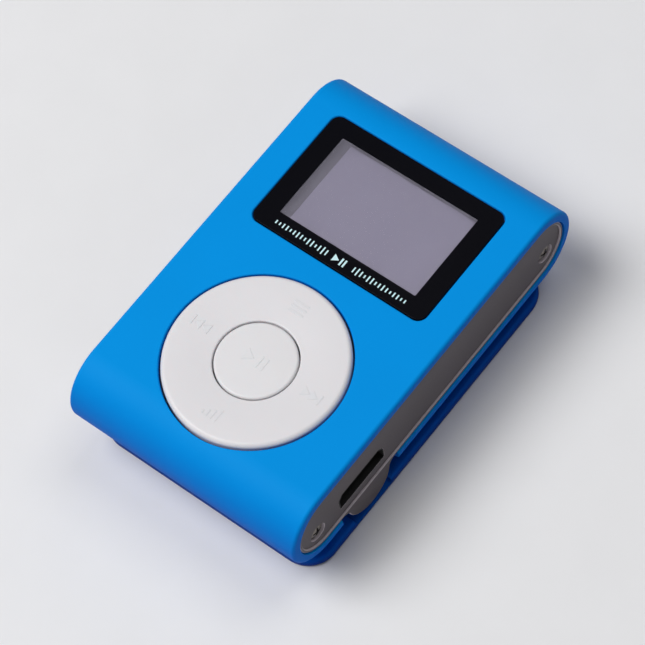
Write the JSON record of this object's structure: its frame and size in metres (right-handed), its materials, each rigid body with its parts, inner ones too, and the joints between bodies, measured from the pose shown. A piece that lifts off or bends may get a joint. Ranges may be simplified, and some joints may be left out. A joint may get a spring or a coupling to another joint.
{
  "type": "clip-on digital audio player",
  "caption": "Clip-on digital audio player: a blue metal sleeve with a small display, a white control ring with a centre button, grey end caps with a USB port, and a sprung clip behind.",
  "frame": {"origin": "centre of the overall box in X and Y, on the plane that the clip's flat back rests on", "axes": "+Z out of the player's face, +Y from the control ring towards the display, +X towards the USB side; the display reads upright with +Y up and +X to the right"},
  "size_m": [0.0316, 0.05, 0.0149],
  "materials": {
    "sleeve_blue": "satin anodised",
    "clip_blue": "satin anodised",
    "ring_white": "soft gloss",
    "button_white": "soft gloss",
    "cap_grey": "fine matte",
    "lens_clear": "polished clear acrylic",
    "mask_black": "printed film, gloss",
    "lcd_glass": "grey, switched off",
    "diffuser_white": "matte",
    "film_white": "satin film",
    "plastic_black": "matte",
    "flex_amber": "satin film",
    "silicone_grey": "soft matte",
    "board_green": "solder mask",
    "screw_steel": "plated, bright",
    "sheet_steel": "stamped sheet",
    "spring_steel": "drawn wire",
    "foil_silver": "laminated foil",
    "lead_red": "soft PVC sleeve",
    "lead_black": "soft PVC sleeve"
  },
  "bodies": {
    "case": {"outer_shell": "sleeve_blue", "right_end_cap": "cap_grey", "left_end_cap": "cap_grey", "cap_screw_right_top": "screw_steel", "cap_screw_right_bottom": "screw_steel", "cap_screw_left_top": "screw_steel", "cap_screw_left_bottom": "screw_steel", "screen_lens": "lens_clear", "lens_mask": "mask_black", "lcd_panel": "lcd_glass", "lcd_backlight": "diffuser_white", "lcd_holder": "plastic_black", "lcd_flex": "flex_amber", "snap_dome_play": "sheet_steel", "snap_dome_menu": "sheet_steel", "snap_dome_volume": "sheet_steel", "snap_dome_next": "sheet_steel", "snap_dome_previous": "sheet_steel", "dome_carrier": "film_white", "main_board": "board_green", "audio_chip": "plastic_black", "memory_chip": "plastic_black", "charge_chip": "plastic_black", "clock_crystal": "sheet_steel", "power_inductor": "plastic_black", "tantalum_capacitor_1": "plastic_black", "tantalum_capacitor_2": "plastic_black", "chassis_tray": "plastic_black", "battery_tape": "film_white", "battery": "foil_silver", "battery_lead_red": "lead_red", "battery_lead_black": "lead_black", "usb_shell": "sheet_steel", "usb_insert": "plastic_black", "headphone_jack": "plastic_black", "card_socket": "sheet_steel", "switch_body": "sheet_steel", "hinge_pin": "screw_steel", "torsion_spring": "spring_steel"},
    "clip": {"clip_plate": "clip_blue"},
    "ring_gimbal": {"ring_pivot": "silicone_grey"},
    "ring": {"control_ring": "ring_white"},
    "button": {"center_button": "button_white"},
    "switch": {"switch_knob": "plastic_black"}
  },
  "joints": [
    {"name": "clip_hinge", "type": "hinge", "parent": "case", "child": "clip", "pos_m": [0, -0.0123, 0.0024], "axis": [-1, 0, 0], "range_deg": [0, 12], "stiffness_Nm_per_rad": 0.12, "deforming": ["torsion_spring"]},
    {"name": "ring_tilt_x", "type": "hinge", "parent": "case", "child": "ring_gimbal", "pos_m": [0, -0.01057, 0.0116], "axis": [1, 0, 0], "range_deg": [-2, 2], "stiffness_Nm_per_rad": 0.2, "deforming": ["snap_dome_menu", "snap_dome_volume"]},
    {"name": "ring_tilt_y", "type": "hinge", "parent": "ring_gimbal", "child": "ring", "pos_m": [0, -0.01057, 0.0116], "axis": [0, 1, 0], "range_deg": [-2, 2], "stiffness_Nm_per_rad": 0.2, "deforming": ["snap_dome_next", "snap_dome_previous"]},
    {"name": "button_press", "type": "slide", "parent": "case", "child": "button", "axis": [0, 0, -1], "range_m": [0, 0.0003], "stiffness_N_per_m": 3000, "deforming": ["snap_dome_play"]},
    {"name": "switch_slide", "type": "slide", "parent": "case", "child": "switch", "axis": [0, 1, 0], "range_m": [0, 0.002]}
  ]
}
